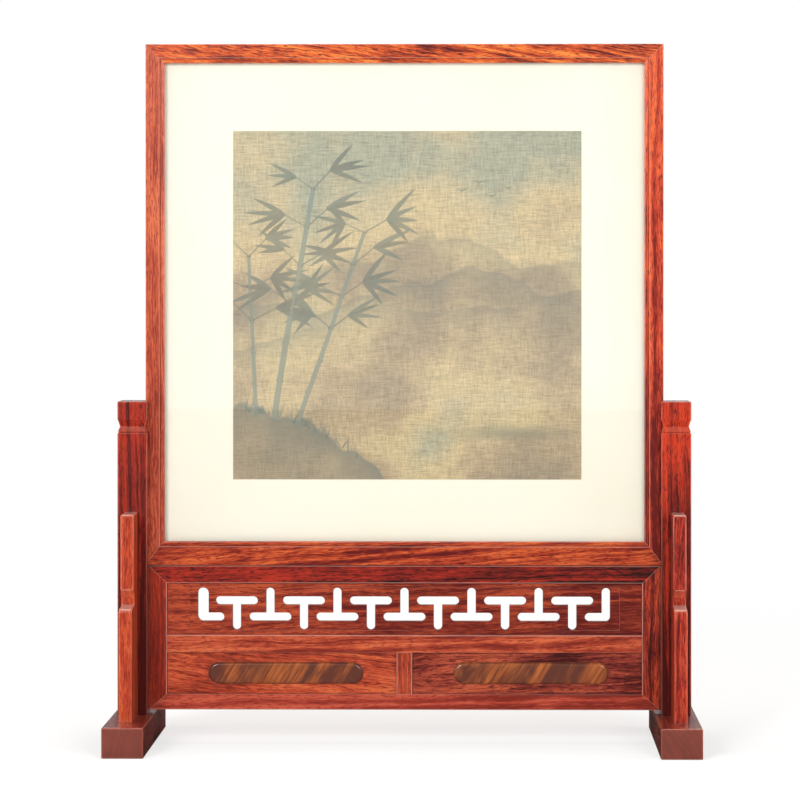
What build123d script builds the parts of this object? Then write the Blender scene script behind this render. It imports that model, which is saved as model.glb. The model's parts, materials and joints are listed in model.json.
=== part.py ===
from build123d import *
import os

# A table screen: a glazed picture frame that stands in the grooves of a two-post hardwood stand.
# Millimetres. X is to the right, the front faces -Y, Z is up, and the origin is on the table,
# midway between the feet.

# Picture frame: the outside size, and the sections of its four mitred members.
frame_width = 380.0
frame_height = 382.5
frame_depth = 14.0
frame_side_width = 14.0
frame_bottom_width = 17.5
frame_arris = 0.8
quirk_width = 0.7
quirk_depth = 1.2
bead_width = 3.0
bead_rise = 1.2
rabbet_width = 5.0
frame_tenon_thickness = 4.0
frame_tenon_height = 5.0
frame_tenon_setback = 2.4
frame_tenon_end = 3.0

# What the rabbet of the picture frame holds, from front to back.
glazing_thickness = 2.0
leaf_thickness = 0.4
mount_thickness = 2.0
backing_thickness = 6.0
rabbet_play = 0.6
leaf_size = 256.0
leaf_shift = 2.0
leaf_drop = 2.2

# Turn buttons that hold the backing, and their screws.
button_length = 25.0
button_width = 8.0
button_thickness = 1.2
button_hole = 2.66
screw_shank = 2.5
screw_length = 7.0
screw_head = 4.8
screw_head_height = 1.6
screw_dome = 1.0
screw_slot_width = 0.6
screw_slot_depth = 0.7
button_air = 0.15
button_inset = 4.5
stile_button_low = 170.0
stile_button_pitch = 140.0
rail_button_pitch = 180.0

# Posts.
post_width = 22.0
post_depth = 28.0
post_height = 229.8
post_arris = 1.2
post_end_arris = 1.0
cap_height = 13.7
neck_cove = 4.3
neck_flat = 0.8
neck_flare = 3.4
neck_cut = 1.6
neck_quirk = 0.7
neck_quirk_cut = 0.7
neck_lip = 0.3
post_tenon = 14.0
post_tenon_depth = 15.0

# How the picture frame stands in the posts.
groove_bite = 2.0
groove_side_play = 0.5
groove_face_play = 0.25
frame_seat_gap = 0.3

# Feet.
foot_width = 30.0
foot_height = 22.0
foot_length = 160.0
foot_arris = 1.2

# Standing spandrels, which the parts below call brackets.
bracket_thickness = 9.8
bracket_height = 148.8
bracket_upper_reach = 26.0
bracket_lower_reach = 38.5
bracket_waist_reach = 21.0
bracket_waist = 83.2
bracket_ledge_drop = 1.4
bracket_cove = 11.0
bracket_cove_bow = 1.2
bracket_corner = 3.0
bracket_nose = 2.0
bracket_edge = 1.6
bracket_offset = 1.0
bracket_tongue = 4.0
bracket_tongue_depth = 4.0
bracket_tongue_end = 12.0
bracket_tenon_length = 20.0
bracket_tenon_depth = 8.0

# Base frame between the posts.
base_depth = 11.0
base_clearance = 3.0
base_bottom_width = 11.4
base_middle_width = 12.8
base_top_width = 13.0
base_stile_width = 13.5
base_muntin_width = 11.5
lower_opening = 30.7
fret_opening = 38.1
base_bevel_width = 2.6
base_bevel_depth = 2.0
base_tenon_thickness = 4.0
base_tenon_height = 5.0
base_tenon_reach = 8.0

# Panels in the base frame.
panel_thickness = 6.0
tongue_thickness = 3.0
tongue_length = 3.0
groove_spare = 0.4
panel_play = 0.1
joint_play = 0.1

# Pierced fret: a row of upright and hanging T slots, with a half one at each end. The upright of
# the first one was cut wider by hand than the rest.
fret_half_pitch = 24.67
fret_slot = 6.1
fret_first_slot = 7.9
fret_bar = 30.8
fret_row = 5.97
fret_reach = 15.4
fret_field_length = 316.0
fret_field_margin = 0.2
fret_field_depth = 0.8
fret_end_land = 6.0

# Raised bosses on the lower panels.
boss_length = 113.8
boss_height = 15.7
boss_proud = 2.2
boss_sunk = 1.5
boss_round = 2.0
boss_shift = 2.9

# Places that follow from the sizes above.
post_inner = frame_width / 2 - groove_bite
post_centre = post_inner + post_width / 2
post_front = -post_depth / 2
frame_front = -frame_depth / 2
frame_back = frame_depth / 2
bottom_rail_low = foot_height + base_clearance
bottom_rail_high = bottom_rail_low + base_bottom_width
middle_rail_low = bottom_rail_high + lower_opening
middle_rail_high = middle_rail_low + base_middle_width
top_rail_low = middle_rail_high + fret_opening
base_top = top_rail_low + base_top_width
base_inner = post_inner - base_stile_width
frame_low = base_top + frame_seat_gap
frame_high = frame_low + frame_height
frame_half = frame_width / 2
rabbet_depth = glazing_thickness + leaf_thickness + mount_thickness + backing_thickness
lip_back = frame_back - rabbet_depth
window_half = frame_half - frame_side_width
window_low = frame_low + frame_bottom_width
window_high = frame_high - frame_side_width
rabbet_half = window_half + rabbet_width
rabbet_low = window_low - rabbet_width
rabbet_high = window_high + rabbet_width

# How far blocks that are joined or cut away run past each other.
overlap = 1.0
# How far in from its square corner, along each side, the middle of a quarter round of radius 1 lies.
round_share = 1 - 0.5 ** 0.5

# Two places closer than this are the same one.
near = 0.01

parts_written = []


def box_between(x_range, y_range, z_range):
    """A block from its lowest to its highest place along each axis."""
    size = [high - low for low, high in (x_range, y_range, z_range)]
    middle = [(high + low) / 2 for low, high in (x_range, y_range, z_range)]
    return Pos(*middle) * Box(*size)


def upright_prism(outline, y_low, y_high):
    """An outline drawn in X and Z, carried from y_low to y_high."""
    sketch = Plane.XZ * Polygon(*outline, align=None)
    return Pos(0, y_high, 0) * extrude(sketch, y_high - y_low, dir=(0, -1, 0))


def write_part(name, shape):
    """Writes one sub-part under its node's name."""
    shape.label = name
    export_step(shape, os.path.join("parts", name + ".step"))
    parts_written.append(name)


def mirrored(shape):
    """The same piece for the right side."""
    return mirror(shape, about=Plane.YZ)


def reversed_depth(shape):
    """The same piece for the rear."""
    return mirror(shape, about=Plane.XZ)


# Feet and posts.

def foot_tenon_box(play):
    """The square tenon under a post, on the left side."""
    half = post_tenon / 2 + play
    return box_between(
        (-post_centre - half, -post_centre + half),
        (-half, half),
        (foot_height - post_tenon_depth - play, foot_height + overlap),
    )


def bracket_tenon_box(play):
    """The tenon under the front left bracket."""
    centre = -post_centre - bracket_offset
    half = bracket_tongue / 2 + play
    middle = post_front - bracket_lower_reach / 2
    return box_between(
        (centre - half, centre + half),
        (middle - bracket_tenon_length / 2 - play, middle + bracket_tenon_length / 2 + play),
        (foot_height - bracket_tenon_depth - play, foot_height + overlap),
    )


def bracket_tongue_box(play):
    """The tongue that runs up the back of the front left bracket."""
    centre = -post_centre - bracket_offset
    half = bracket_tongue / 2 + play
    return box_between(
        (centre - half, centre + half),
        (post_front - overlap, post_front + bracket_tongue_depth + play),
        (
            foot_height + bracket_tongue_end - play,
            foot_height + bracket_height - bracket_tongue_end + play,
        ),
    )


def left_foot():
    block = box_between(
        (-post_centre - foot_width / 2, -post_centre + foot_width / 2),
        (-foot_length / 2, foot_length / 2),
        (0, foot_height),
    )
    upper = block.edges().group_by(Axis.Z)[-1]
    block = fillet(upper + block.edges().filter_by(Axis.Z), foot_arris)
    front_mortise = bracket_tenon_box(joint_play)
    return block - foot_tenon_box(joint_play) - front_mortise - reversed_depth(front_mortise)


def post_section(height, cut):
    """The post's section at a height above the table, cut in by the same amount all round."""
    sketch = RectangleRounded(post_width - 2 * cut, post_depth - 2 * cut, post_arris)
    return Pos(-post_centre, 0, height) * sketch


def left_post():
    top = foot_height + post_height
    cap_low = top - cap_height
    cove_low = cap_low - neck_cove
    flat_low = cove_low - neck_flat
    flare_low = flat_low - neck_flare
    shaft_top = flare_low - neck_quirk
    shaft = extrude(post_section(foot_height, 0), shaft_top - foot_height)
    shaft = fillet(shaft.edges().group_by(Axis.Z)[-1], post_end_arris)
    cap = extrude(post_section(cap_low, 0), cap_height)
    cap = fillet(cap.edges().group_by(Axis.Z)[-1], post_end_arris)
    quirk = extrude(post_section(shaft_top, neck_quirk_cut), neck_quirk)
    flare = loft([post_section(flare_low, neck_lip), post_section(flat_low, neck_cut)], ruled=True)
    flat = extrude(post_section(flat_low, neck_cut), neck_flat)
    cove = loft([post_section(cove_low, neck_cut), post_section(cap_low, neck_lip)], ruled=True)
    post = shaft + quirk + flare + flat + cove + cap + foot_tenon_box(0)
    groove = box_between(
        (-frame_half - groove_side_play, -post_inner + overlap),
        (frame_front - groove_face_play, frame_back + groove_face_play),
        (base_top, top + overlap),
    )
    front_slot = bracket_tongue_box(joint_play)
    post = post - groove - front_slot - reversed_depth(front_slot)
    for low, high in rail_heights():
        post = post - rail_tenon_box(low, high, joint_play)
    return post


# Brackets.

def bracket_outline():
    """The bracket's side view: depth in front of the post against height above the foot."""
    waist = bracket_waist
    ledge = waist - bracket_ledge_drop
    lower = bracket_lower_reach
    upper = bracket_upper_reach
    corner = bracket_corner
    nose = bracket_nose
    cove_end = waist + bracket_cove
    return make_face([
        Line((0, 0), (lower, 0)),
        Line((lower, 0), (lower, ledge - corner)),
        ThreePointArc(
            (lower, ledge - corner),
            (lower - corner * round_share, ledge - corner * round_share),
            (lower - corner, ledge),
        ),
        Line((lower - corner, ledge), (bracket_waist_reach, waist)),
        ThreePointArc(
            (bracket_waist_reach, waist),
            (
                (bracket_waist_reach + upper) / 2 - bracket_cove_bow,
                (waist + cove_end) / 2 + bracket_cove_bow,
            ),
            (upper, cove_end),
        ),
        Line((upper, cove_end), (upper, bracket_height - nose)),
        ThreePointArc(
            (upper, bracket_height - nose),
            (upper - nose * round_share, bracket_height - nose * round_share),
            (upper - nose, bracket_height),
        ),
        Line((upper - nose, bracket_height), (0, bracket_height)),
        Line((0, bracket_height), (0, 0)),
    ])


def front_left_bracket():
    """Drawn at the origin facing away from the post, then set against the post's front."""
    side = Plane(origin=(0, 0, 0), x_dir=(0, -1, 0), z_dir=(-1, 0, 0))
    board = extrude(side * bracket_outline(), bracket_thickness / 2, both=True)
    shown = [
        edge for edge in board.edges()
        if abs(edge.center().X) > bracket_thickness / 2 - near
        and edge.center().Y < -near
        and edge.center().Z > near
    ]
    board = fillet(shown, bracket_edge)
    board = Pos(-post_centre - bracket_offset, post_front, foot_height) * board
    return board + bracket_tenon_box(0) + bracket_tongue_box(0)


# Base frame.

def rail_heights():
    """The lowest and highest place of the three rails of the base frame."""
    return [
        (bottom_rail_low, bottom_rail_high),
        (middle_rail_low, middle_rail_high),
        (top_rail_low, base_top),
    ]


def rail_tenon_box(low, high, play):
    """The left tenon of a base rail, which passes through the stile into the post."""
    middle = (low + high) / 2
    return box_between(
        (-post_inner - base_tenon_reach - play, -base_inner + overlap),
        (-base_tenon_thickness / 2 - play, base_tenon_thickness / 2 + play),
        (middle - base_tenon_height / 2 - play, middle + base_tenon_height / 2 + play),
    )


def panel_groove(x_low, x_high, z_low, z_high):
    """The space that a panel's tongue takes around an opening, with its spare room."""
    reach = tongue_length + groove_spare
    return box_between(
        (x_low - reach, x_high + reach),
        (-tongue_thickness / 2 - panel_play, tongue_thickness / 2 + panel_play),
        (z_low - reach, z_high + reach),
    )


def all_panel_grooves():
    half_muntin = base_muntin_width / 2
    return (
        panel_groove(-base_inner, base_inner, middle_rail_high, top_rail_low)
        + panel_groove(-base_inner, -half_muntin, bottom_rail_high, middle_rail_low)
        + panel_groove(half_muntin, base_inner, bottom_rail_high, middle_rail_low)
    )


def bevelled(board, chosen):
    """Bevels the panel side edges of a base member, front and back."""
    front = board.faces().sort_by(Axis.Y)[0]
    back = board.faces().sort_by(Axis.Y)[-1]
    for face in (front, back):
        edges = [edge for edge in face.edges() if chosen(edge.center())]
        board = chamfer(edges, base_bevel_depth, base_bevel_width, reference=face)
    return board


def base_member(outline, chosen):
    board = upright_prism(outline, -base_depth / 2, base_depth / 2)
    return bevelled(board, chosen) - all_panel_grooves()


def base_left_stile():
    outline = [
        (-post_inner, bottom_rail_low),
        (-post_inner, base_top),
        (-base_inner, top_rail_low),
        (-base_inner, bottom_rail_high),
    ]
    stile = base_member(outline, lambda place: place.X > -base_inner - near)
    for low, high in rail_heights():
        stile = stile - rail_tenon_box(low, high, joint_play)
    return stile


def add_rail_tenons(rail, low, high):
    left = rail_tenon_box(low, high, 0)
    return rail + left + mirrored(left)


def base_bottom_rail():
    outline = [
        (-post_inner, bottom_rail_low),
        (post_inner, bottom_rail_low),
        (base_inner, bottom_rail_high),
        (-base_inner, bottom_rail_high),
    ]
    rail = base_member(outline, lambda place: place.Z > bottom_rail_high - near)
    return add_rail_tenons(rail, bottom_rail_low, bottom_rail_high) - muntin_tenon_boxes(joint_play)


def base_middle_rail():
    outline = [
        (-base_inner, middle_rail_low),
        (base_inner, middle_rail_low),
        (base_inner, middle_rail_high),
        (-base_inner, middle_rail_high),
    ]
    rail = base_member(outline, lambda place: abs(place.X) < near)
    return add_rail_tenons(rail, middle_rail_low, middle_rail_high) - muntin_tenon_boxes(joint_play)


def base_top_rail():
    outline = [
        (-post_inner, base_top),
        (post_inner, base_top),
        (base_inner, top_rail_low),
        (-base_inner, top_rail_low),
    ]
    rail = base_member(outline, lambda place: place.Z < top_rail_low + near)
    return add_rail_tenons(rail, top_rail_low, base_top)


def muntin_tenon_boxes(play):
    """The two short tenons of the muntin, in the bottom rail and the middle rail."""
    half_x = base_muntin_width / 2 - tongue_length - groove_spare + play
    half_y = base_tenon_thickness / 2 + play
    reach = tongue_length + groove_spare + overlap + play
    lower = box_between(
        (-half_x, half_x), (-half_y, half_y), (bottom_rail_high - reach, bottom_rail_high + overlap)
    )
    upper = box_between(
        (-half_x, half_x), (-half_y, half_y), (middle_rail_low - overlap, middle_rail_low + reach)
    )
    return lower + upper


def base_muntin():
    half = base_muntin_width / 2
    outline = [
        (-half, bottom_rail_high),
        (half, bottom_rail_high),
        (half, middle_rail_low),
        (-half, middle_rail_low),
    ]
    middle = (bottom_rail_high + middle_rail_low) / 2
    upright = base_member(outline, lambda place: abs(place.Z - middle) < near)
    return upright + muntin_tenon_boxes(0)


# Panels of the base frame.

def tongued_panel(x_low, x_high, z_low, z_high):
    """A board that fills an opening of the base frame, with a thinner tongue all round."""
    field = box_between(
        (x_low + panel_play, x_high - panel_play),
        (-panel_thickness / 2, panel_thickness / 2),
        (z_low + panel_play, z_high - panel_play),
    )
    tongue = box_between(
        (x_low - tongue_length, x_high + tongue_length),
        (-tongue_thickness / 2, tongue_thickness / 2),
        (z_low - tongue_length, z_high + tongue_length),
    )
    return field + tongue


def t_slot(centre, up, left_bar, right_bar):
    """One T of the fret; its bar lies on the row that its stem points away from."""
    end = fret_slot / 2
    stem_width = fret_slot if left_bar else fret_first_slot
    bar_low = -fret_bar / 2 if left_bar else -end
    bar_high = fret_bar / 2 if right_bar else end
    bar = Pos((bar_low + bar_high) / 2, -fret_row) * SlotOverall(bar_high - bar_low, fret_slot)
    stem_low = -fret_row - end
    stem_length = fret_reach - stem_low
    stem = Pos(0, stem_low + stem_length / 2) * SlotOverall(stem_length, stem_width, rotation=90)
    motif = bar + stem
    if not up:
        motif = mirror(motif, about=Plane.XZ)
    return Pos(centre, 0) * motif


def fret_slots():
    """The whole row: upright at each end, then hanging and upright in turn."""
    usable = fret_field_length / 2 - fret_slot / 2 - fret_end_land
    count = int(usable / fret_half_pitch)
    row = None
    for index in range(-count, count + 1):
        upright = (index - count) % 2 == 0
        motif = t_slot(index * fret_half_pitch, upright, index > -count, index < count)
        row = motif if row is None else row + motif
    return row


def fretwork_panel():
    centre = (middle_rail_high + top_rail_low) / 2
    panel = tongued_panel(-base_inner, base_inner, middle_rail_high, top_rail_low)
    half_height = fret_reach + fret_field_margin
    for face, inside in ((-1, 1), (1, -1)):
        outer = face * panel_thickness / 2
        floor = outer + inside * fret_field_depth
        panel = panel - box_between(
            (-fret_field_length / 2, fret_field_length / 2),
            (min(outer, floor), max(outer, floor)),
            (centre - half_height, centre + half_height),
        )
    holes = extrude(Plane.XZ * fret_slots(), panel_thickness, both=True)
    return panel - Pos(0, 0, centre) * holes


def boss_block(play, front):
    """A boss lying on the panel's front, or the shallow recess it is set in."""
    seat = -panel_thickness / 2 + boss_sunk + play
    outline = SlotOverall(boss_length + 2 * play, boss_height + 2 * play)
    middle = (bottom_rail_high + middle_rail_low) / 2
    return Pos(0, seat, middle) * extrude(Plane.XZ * outline, seat - front)


def lower_centre(side):
    """The middle of a lower opening, on the left for -1 and on the right for 1."""
    return side * (base_inner + base_muntin_width / 2) / 2


def lower_panel(side):
    centre = lower_centre(side)
    half = (base_inner - base_muntin_width / 2) / 2
    panel = tongued_panel(centre - half, centre + half, bottom_rail_high, middle_rail_low)
    recess = boss_block(panel_play, -panel_thickness)
    return panel - Pos(centre + boss_shift, 0, 0) * recess


def capsule_boss(side):
    front = -panel_thickness / 2 - boss_proud
    boss = boss_block(0, front)
    crown = boss.faces().sort_by(Axis.Y)[0]
    boss = fillet(crown.edges(), boss_round)
    return Pos(lower_centre(side) + boss_shift, 0, 0) * boss


# Picture frame.

def member_section(width):
    """A frame member across its length: x runs from the outer edge inwards, y from front to back."""
    front = frame_front
    flat_end = width - bead_width - quirk_width
    bead_start = width - bead_width
    turn = frame_arris * round_share
    land = width - rabbet_width
    return make_face([
        ThreePointArc((0, front + frame_arris), (turn, front + turn), (frame_arris, front)),
        Line((frame_arris, front), (flat_end, front)),
        Line((flat_end, front), (flat_end, front + quirk_depth)),
        Line((flat_end, front + quirk_depth), (bead_start, front + quirk_depth)),
        ThreePointArc(
            (bead_start, front + quirk_depth),
            ((bead_start + width) / 2, front + quirk_depth - bead_rise),
            (width, front + quirk_depth),
        ),
        Line((width, front + quirk_depth), (width, lip_back)),
        Line((width, lip_back), (land, lip_back)),
        Line((land, lip_back), (land, frame_back)),
        Line((land, frame_back), (frame_arris, frame_back)),
        Line((frame_arris, frame_back), (0, frame_back - frame_arris)),
        Line((0, frame_back - frame_arris), (0, front + frame_arris)),
    ])


def corner_points(x_side, at_top):
    """Outer corner, bead corner and inner corner of the mitre at one corner of the frame."""
    edge = bead_width + quirk_width
    outer = (x_side * frame_half, frame_high if at_top else frame_low)
    bead = (x_side * (window_half + edge), window_high + edge if at_top else window_low - edge)
    inner = (x_side * window_half, window_high if at_top else window_low)
    return outer, bead, inner


def frame_member(origin, inwards, width, length, ends):
    """A length of moulding, cut to the mitre lines at its two ends."""
    along = Vector(*inwards).cross(Vector(0, 1, 0))
    plane = Plane(origin=origin, x_dir=inwards, z_dir=(along.X, along.Y, along.Z))
    bar = extrude(plane * member_section(width), length / 2 + overlap, both=True)
    first, last = ends
    outline = list(first) + list(reversed(last))
    return bar & upright_prism(outline, frame_front - overlap, frame_back + overlap)


def frame_tenon_box(x_side, at_top, play):
    """The tenon at one end of a frame rail, hidden inside the mitre."""
    low = frame_high - frame_tenon_setback - frame_tenon_height
    if not at_top:
        low = frame_low + frame_tenon_setback
    outer = frame_half - frame_tenon_end + play
    block = box_between(
        (-outer, -window_half),
        (lip_back - frame_tenon_thickness / 2 - play, lip_back + frame_tenon_thickness / 2 + play),
        (low - play, low + frame_tenon_height + play),
    )
    return block if x_side < 0 else mirrored(block)


def frame_left_stile():
    middle = (frame_low + frame_high) / 2
    stile = frame_member(
        (-frame_half, 0, middle), (1, 0, 0), frame_side_width, frame_height,
        (corner_points(-1, False), corner_points(-1, True)),
    )
    stile = stile - frame_tenon_box(-1, True, joint_play) - frame_tenon_box(-1, False, joint_play)
    return stile - button_pilots()


def frame_rail(at_top):
    width = frame_side_width if at_top else frame_bottom_width
    edge = frame_high if at_top else frame_low
    rail = frame_member(
        (0, 0, edge), (0, 0, -1 if at_top else 1), width, frame_width,
        (corner_points(-1, at_top), corner_points(1, at_top)),
    )
    rail = rail + frame_tenon_box(-1, at_top, 0) + frame_tenon_box(1, at_top, 0)
    return rail - button_pilots()


def sheet(front, thickness):
    """A board or pane that fills the rabbet, less its play."""
    return box_between(
        (-rabbet_half + rabbet_play, rabbet_half - rabbet_play),
        (front, front + thickness),
        (rabbet_low + rabbet_play, rabbet_high - rabbet_play),
    )


def silk_leaf():
    front = lip_back + glazing_thickness
    middle = (window_low + window_high) / 2 - leaf_drop
    return box_between(
        (leaf_shift - leaf_size / 2, leaf_shift + leaf_size / 2),
        (front, front + leaf_thickness),
        (middle - leaf_size / 2, middle + leaf_size / 2),
    )


# Turn buttons.

def button_places():
    """Where each button's screw stands, as x, z and the turn that points it at the backing."""
    side = frame_half - button_inset
    low = frame_low + button_inset
    high = frame_high - button_inset
    places = []
    for step in (0, 1):
        height = frame_low + stile_button_low + step * stile_button_pitch
        places.append((-side, height, 0))
        places.append((side, height, 180))
    for x in (-rail_button_pitch / 2, rail_button_pitch / 2):
        places.append((x, low, 90))
        places.append((x, high, -90))
    return places


def along_back(radius, start, length):
    """A round rod that runs backwards from start."""
    return Pos(0, start + length / 2, 0) * Rot(90, 0, 0) * Cylinder(radius, length)


def button_pilots():
    """The holes that the screws cut in the frame's back."""
    depth = screw_length - button_thickness - 2 * button_air
    hole = along_back(screw_shank / 2, frame_back - depth, depth + overlap)
    pilots = None
    for x, z, turn in button_places():
        placed = Pos(x, 0, z) * hole
        pilots = placed if pilots is None else pilots + placed
    return pilots


def turn_button(x, z, turn):
    """A flat plate with round ends that reaches from the screw over the backing board."""
    front = frame_back + button_air
    plate = SlotOverall(button_length, button_width)
    plate = Pos(button_length / 2 - button_width / 2, 0) * plate - Circle(button_hole / 2)
    body = Pos(0, front + button_thickness, 0) * extrude(Plane.XZ * plate, button_thickness)
    return Pos(x, 0, z) * Rot(0, -turn, 0) * body


def turn_button_screws():
    under = frame_back + 2 * button_air + button_thickness
    shank = along_back(screw_shank / 2, under - screw_length, screw_length)
    head = along_back(screw_head / 2, under, screw_head_height)
    head = fillet(head.edges().group_by(Axis.Y)[-1], screw_dome)
    top = under + screw_head_height
    slot = box_between(
        (-screw_head, screw_head),
        (top - screw_slot_depth, top + overlap),
        (-screw_slot_width / 2, screw_slot_width / 2),
    )
    screw = shank + head - slot
    return Compound(children=[Pos(x, 0, z) * screw for x, z, turn in button_places()])


def main():
    os.makedirs("parts", exist_ok=True)
    foot = left_foot()
    post = left_post()
    bracket = front_left_bracket()
    write_part("left_foot", foot)
    write_part("right_foot", mirrored(foot))
    write_part("left_post", post)
    write_part("right_post", mirrored(post))
    write_part("front_left_bracket", bracket)
    write_part("front_right_bracket", mirrored(bracket))
    write_part("rear_left_bracket", reversed_depth(bracket))
    write_part("rear_right_bracket", mirrored(reversed_depth(bracket)))

    stile = base_left_stile()
    write_part("base_left_stile", stile)
    write_part("base_right_stile", mirrored(stile))
    write_part("base_bottom_rail", base_bottom_rail())
    write_part("base_middle_rail", base_middle_rail())
    write_part("base_top_rail", base_top_rail())
    write_part("base_muntin", base_muntin())
    write_part("fretwork_panel", fretwork_panel())
    write_part("left_lower_panel", lower_panel(-1))
    write_part("right_lower_panel", lower_panel(1))
    write_part("left_boss", capsule_boss(-1))
    write_part("right_boss", capsule_boss(1))

    frame_stile = frame_left_stile()
    write_part("frame_left_stile", frame_stile)
    write_part("frame_right_stile", mirrored(frame_stile))
    write_part("frame_bottom_rail", frame_rail(False))
    write_part("frame_top_rail", frame_rail(True))
    mount_front = lip_back + glazing_thickness + leaf_thickness
    write_part("glazing_sheet", sheet(lip_back, glazing_thickness))
    write_part("silk_leaf", silk_leaf())
    write_part("mount_board", sheet(mount_front, mount_thickness))
    write_part("backing_board", sheet(mount_front + mount_thickness, backing_thickness))

    for number, (x, z, turn) in enumerate(button_places(), start=1):
        write_part(f"turn_button_{number}", turn_button(x, z, turn))
    write_part("turn_button_screws", turn_button_screws())
    print(len(parts_written), "sub-parts written")


main()
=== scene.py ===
import json
import math
import random

import bmesh
import bpy
import numpy as np
from mathutils import Matrix, Vector
from mathutils.bvhtree import BVHTree

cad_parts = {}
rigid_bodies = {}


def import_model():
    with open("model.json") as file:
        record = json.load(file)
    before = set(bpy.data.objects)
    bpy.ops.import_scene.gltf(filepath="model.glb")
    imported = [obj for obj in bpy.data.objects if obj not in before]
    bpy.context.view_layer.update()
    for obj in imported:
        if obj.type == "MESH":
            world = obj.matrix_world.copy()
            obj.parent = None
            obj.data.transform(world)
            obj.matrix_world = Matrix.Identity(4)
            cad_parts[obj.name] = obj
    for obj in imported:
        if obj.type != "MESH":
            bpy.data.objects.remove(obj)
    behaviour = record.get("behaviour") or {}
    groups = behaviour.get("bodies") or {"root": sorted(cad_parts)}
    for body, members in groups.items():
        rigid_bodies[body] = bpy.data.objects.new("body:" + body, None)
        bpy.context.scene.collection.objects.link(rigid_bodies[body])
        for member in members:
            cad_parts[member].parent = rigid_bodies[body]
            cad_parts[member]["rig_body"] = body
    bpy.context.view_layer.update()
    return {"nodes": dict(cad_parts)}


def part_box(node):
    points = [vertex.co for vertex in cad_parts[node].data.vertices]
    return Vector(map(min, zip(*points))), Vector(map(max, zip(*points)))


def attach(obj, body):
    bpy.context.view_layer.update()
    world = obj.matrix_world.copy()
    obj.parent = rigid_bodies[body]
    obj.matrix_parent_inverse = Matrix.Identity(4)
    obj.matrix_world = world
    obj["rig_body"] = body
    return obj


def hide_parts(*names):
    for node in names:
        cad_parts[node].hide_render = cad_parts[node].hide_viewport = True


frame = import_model()
mm = 0.001


# The view: a long lens straight in front of the screen, a little right of its middle line and level with
# the lower half of the picture. The photograph was cropped off the lens axis, which the shift puts back.
lens = bpy.data.cameras.new("long_lens")
lens.lens = 140.35
lens.sensor_width = 36.0
lens.shift_x = -0.05
lens.shift_y = -0.13
view_turn = math.radians(0.751)
view_dip = math.radians(0.254)
viewer = bpy.data.objects.new("viewer", lens)
viewer.location = (56.2 * mm, -2293.7 * mm, 339.1 * mm)
viewer.rotation_euler = (math.pi / 2 - view_dip, 0.0, view_turn)
scene = bpy.context.scene
scene.collection.objects.link(viewer)
scene.camera = viewer
scene.view_settings.view_transform = "Standard"


# The studio: a white paper floor and soft boxes beside, above and behind the screen. The paper is matt, so
# it only shows the shadow of the feet. Flat faces mirror the dim room behind the camera, so the lacquer
# keeps its red, and rounded edges mirror the boxes, so they show as pale lines, which the wood materials
# strengthen with a painted highlight.
def linear(code):
    """A #RRGGBB colour as the eye reads it, turned into the linear colour that light works in."""
    parts = [int(code[i:i + 2], 16) / 255 for i in (1, 3, 5)]
    return tuple(c / 12.92 if c <= 0.04045 else ((c + 0.055) / 1.055) ** 2.4 for c in parts) + (1.0,)


def add_node(tree, kind, sockets=(), stops=(), **settings):
    """Adds a node with its settings, the values or links of its sockets, and the stops of its ramp."""
    node = tree.nodes.new(kind)
    for name, value in settings.items():
        setattr(node, name, value)
    for name, value in dict(sockets).items():
        if isinstance(value, bpy.types.NodeSocket):
            tree.links.new(value, node.inputs[name])
        else:
            node.inputs[name].default_value = value
    for number, (place, colour) in enumerate(stops):
        ramp = node.color_ramp.elements
        stop = ramp[number] if number < 2 else ramp.new(place)
        stop.position = place
        stop.color = colour
    return node


def new_material(name):
    """An empty node material and its node tree."""
    material = bpy.data.materials.new(name)
    material.use_nodes = True
    material.node_tree.nodes.clear()
    return material, material.node_tree


floor_size = 12.0
paper_white = "#EDEDEB"
floor_shape = bmesh.new()
bmesh.ops.create_grid(
    floor_shape, x_segments=1, y_segments=1, size=floor_size / 2,
    matrix=Matrix.Translation((0, 0, -0.1 * mm)),
)
floor_mesh = bpy.data.meshes.new("paper_floor")
floor_shape.to_mesh(floor_mesh)
floor_shape.free()
floor = bpy.data.objects.new("paper_floor", floor_mesh)
scene.collection.objects.link(floor)
paper, tree = new_material("matt_background_paper")
light_path = add_node(tree, "ShaderNodeLightPath")
spot = add_node(tree, "ShaderNodeTexCoord")
fibre = add_node(tree, "ShaderNodeTexNoise", {"Vector": spot.outputs["Object"], "Scale": 60.0})
tint = add_node(
    tree, "ShaderNodeValToRGB", {"Fac": fibre.outputs["Fac"]},
    stops=[(0.0, linear("#E9E9E7")), (1.0, linear(paper_white))],
)
matt = add_node(tree, "ShaderNodeBsdfDiffuse", {"Color": tint.outputs["Color"], "Roughness": 1.0})
# Painted reflection: to glossy rays the paper is dark grey, so the lacquer and glass mirror it dim.
painted_dark_reflection = add_node(tree, "ShaderNodeBsdfDiffuse", {"Color": linear("#3A3A3A"), "Roughness": 1.0})
mirrored = add_node(
    tree, "ShaderNodeMixShader",
    {0: light_path.outputs["Is Glossy Ray"], 1: matt.outputs[0], 2: painted_dark_reflection.outputs[0]},
)
glow = add_node(tree, "ShaderNodeEmission", {"Color": linear("#FFFFFF"), "Strength": 1.0})
far_off = add_node(tree, "ShaderNodeVectorMath", {0: spot.outputs["Object"]}, operation="LENGTH")
glow_share = add_node(
    tree, "ShaderNodeMapRange",
    {"Value": far_off.outputs["Value"], "From Min": 0.35, "From Max": 1.1, "To Min": 0.6, "To Max": 1.0},
)
seen = add_node(
    tree, "ShaderNodeMath", {0: light_path.outputs["Is Camera Ray"], 1: glow_share.outputs[0]},
    operation="MULTIPLY",
)
mixed = add_node(
    tree, "ShaderNodeMixShader",
    {0: seen.outputs[0], 1: mirrored.outputs[0], 2: glow.outputs[0]},
)
add_node(tree, "ShaderNodeOutputMaterial", {"Surface": mixed.outputs[0]})
floor_mesh.materials.append(paper)

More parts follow.
